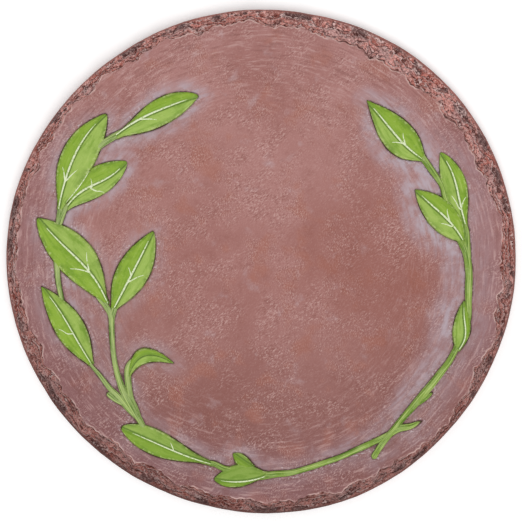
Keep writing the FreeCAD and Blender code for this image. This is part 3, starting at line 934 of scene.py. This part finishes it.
# The rock of the break: lumps, flakes and grit, and layers that step down it.
along_rim = size["Radius"] * RIM_SQUEEZE
down_rim = slope * BREAK_ROOM + wall * WALL_ROOM
rim_place = vector(tree, cosine * along_rim, sine * along_rim, down_rim)
lumps = grain(tree, rim_place, 6 * MM, 2.0)
flakes = grain(tree, rim_place, 2.4 * MM, 2.0)
grit = grain(tree, plain, 1.6 * MM, 2.0)
hollow = 0.45 * lumps + 0.6 * flakes + 0.3 * grit
depth = size["Rock Depth"] * slope.rise(0.0, 0.08) * wall.fall(0.1, 0.7) * hollow
radius = radius - depth * 0.5 * (1.0 - slope.rise(0.8, 1.0) * 0.7)
height = height - depth * wall.fall(0.0, 0.4) * 0.9
layers = slope * LAYERS + LAYER_WAVER * grain(tree, rim_place, 7 * MM, 3.0, 0.6)
terraces = (layers.math("FLOOR") + layers.math("FRACT").rise(0.6, 1.0) - layers) / LAYERS
terraced = terraces * slope.rise(0.05, 0.2) * slope.fall(0.85, 1.0)
height = height - (size["Thickness"] - lip_height) * terraced * 0.7
# The face is a little wavy, and dished round the wreath.
relief = add(tree, "GeometryNodeJoinGeometry")
for part in (stems, leaves):
    feed(relief.inputs[0], wired(tree, "GeometryNodeObjectInfo", {0: part}, "Geometry"))
on_face = vector(tree, radius * cosine, radius * sine, size["Thickness"])
to_relief = {0: Wire(relief.outputs[0]), "Sample Position": on_face}
distance = wired(tree, "GeometryNodeProximity", to_relief, "Distance")
dish = DISH_DEPTH * (-((distance / DISH_REACH) ** 2)).math("EXPONENT")
waves = WAVE_HEIGHT * (grain(tree, plain, WAVE_SIZE, 2.0) - 0.55)
height = height + brink.fall(0.0, 1.0) * (waves - dish)
shape = kept(
    tree,
    grid,
    relief_distance=distance,
    broken=ring.rise(FACE_RINGS + EDGE_RINGS - 0.5, FACE_RINGS + EDGE_RINGS + 1.5),
    crest=ring.rise(FACE_RINGS + 0.5, FACE_RINGS + EDGE_RINGS) * slope.fall(0.02, 0.1),
    hollow=hollow,
    layers=layers,
    break_share=slope,
)
disc_point = vector(tree, radius * cosine, radius * sine, height)
shape = wired(tree, "GeometryNodeSetPosition", {0: shape, "Position": disc_point})
shape = wired(tree, "GeometryNodeMergeByDistance", {0: shape, "Distance": MERGE_DISTANCE})
end_tree(tree, shape, stone_paint)
disc_sizes = {
    "Radius": STONE_RADIUS,
    "Thickness": FACE_HEIGHT,
    "Lip Height": 14.5 * MM,
    "Lip Inset": 0.7 * MM,
    "Foot Height": 8 * MM,
    "Base Inset": 2.1 * MM,
    "Base Round": 2 * MM,
    "Bite": 6.4 * MM,
    "Wide Swell": 6.5 * MM,
    "Wide Swell Angle": math.radians(52),
    "Lesser Swell": 3.5 * MM,
    "Lesser Swell Angle": math.radians(225),
    "Scallop Depth": 3.6 * MM,
    "Rock Depth": 2.6 * MM,
}
piece("cast_disc", grown(tree, disc_sizes))

# The studio: a white table that catches the soft shadow, one broad lamp from the lower side,
# and a camera straight above, far enough back that the rim is hardly drawn out.
TABLE_REACH = 3.0
TABLE_WHITE, TABLE_GLOW = (0.92, 0.92, 0.92, 1.0), 0.25
ROOM_WHITE, ROOM_LIGHT = (1.0, 1.0, 1.0, 1.0), 0.625
LAMP_PLACE = (0.1, -0.6, 1.5)
CAMERA_PLACE = (-0.02 * MM, -0.66 * MM, 3.2)


def in_view(tree):
    """1 for what the camera, a reflection or glass shows, and 0 for light on its way to the stone."""
    path = add(tree, "ShaderNodeLightPath")
    rays = ("Is Camera Ray", "Is Glossy Ray", "Is Transmission Ray")
    camera_ray, gloss_ray, glass_ray = [Wire(path.outputs[ray]) for ray in rays]
    return camera_ray.math("MAXIMUM", gloss_ray).math("MAXIMUM", glass_ray)


table_mesh = bpy.data.meshes.new("white_table")
corners = [(TABLE_REACH * i, TABLE_REACH * j, 0) for i, j in ((-1, -1), (1, -1), (1, 1), (-1, 1))]
table_mesh.from_pydata(corners, [], [(0, 1, 2, 3)])
table = bpy.data.objects.new("white_table", table_mesh)
bpy.context.scene.collection.objects.link(table)
table_white, tree, shader, _ = paint("table_white", roughness=0.9, shine=0.5)
shader.inputs["Base Color"].default_value = TABLE_WHITE
shader.inputs["Emission Color"].default_value = ROOM_WHITE
feed(shader.inputs["Emission Strength"], in_view(tree) * TABLE_GLOW)
table_mesh.materials.append(table_white)

world = bpy.data.worlds.new("soft_room")
bpy.context.scene.world = world
world.use_nodes = True
background = world.node_tree.nodes["Background"]
background.inputs["Color"].default_value = ROOM_WHITE
feed(background.inputs["Strength"], ROOM_LIGHT + (1 - ROOM_LIGHT) * in_view(world.node_tree))

lamp = bpy.data.lights.new("soft_lamp", "SUN")
lamp.energy = 1.2
lamp.angle = math.radians(35)
lamp_stand = bpy.data.objects.new("soft_lamp", lamp)
lamp_stand.location = LAMP_PLACE
lamp_stand.rotation_mode = "QUATERNION"
lamp_stand.rotation_quaternion = (-lamp_stand.location).to_track_quat("-Z", "Y")
bpy.context.scene.collection.objects.link(lamp_stand)

camera = bpy.data.cameras.new("overhead")
camera.sensor_width = 36
camera.lens = 368.6
camera.clip_end = 20
overhead = bpy.data.objects.new("overhead", camera)
overhead.location = CAMERA_PLACE
bpy.context.scene.collection.objects.link(overhead)
bpy.context.scene.camera = overhead
bpy.context.scene.view_settings.view_transform = "Standard"
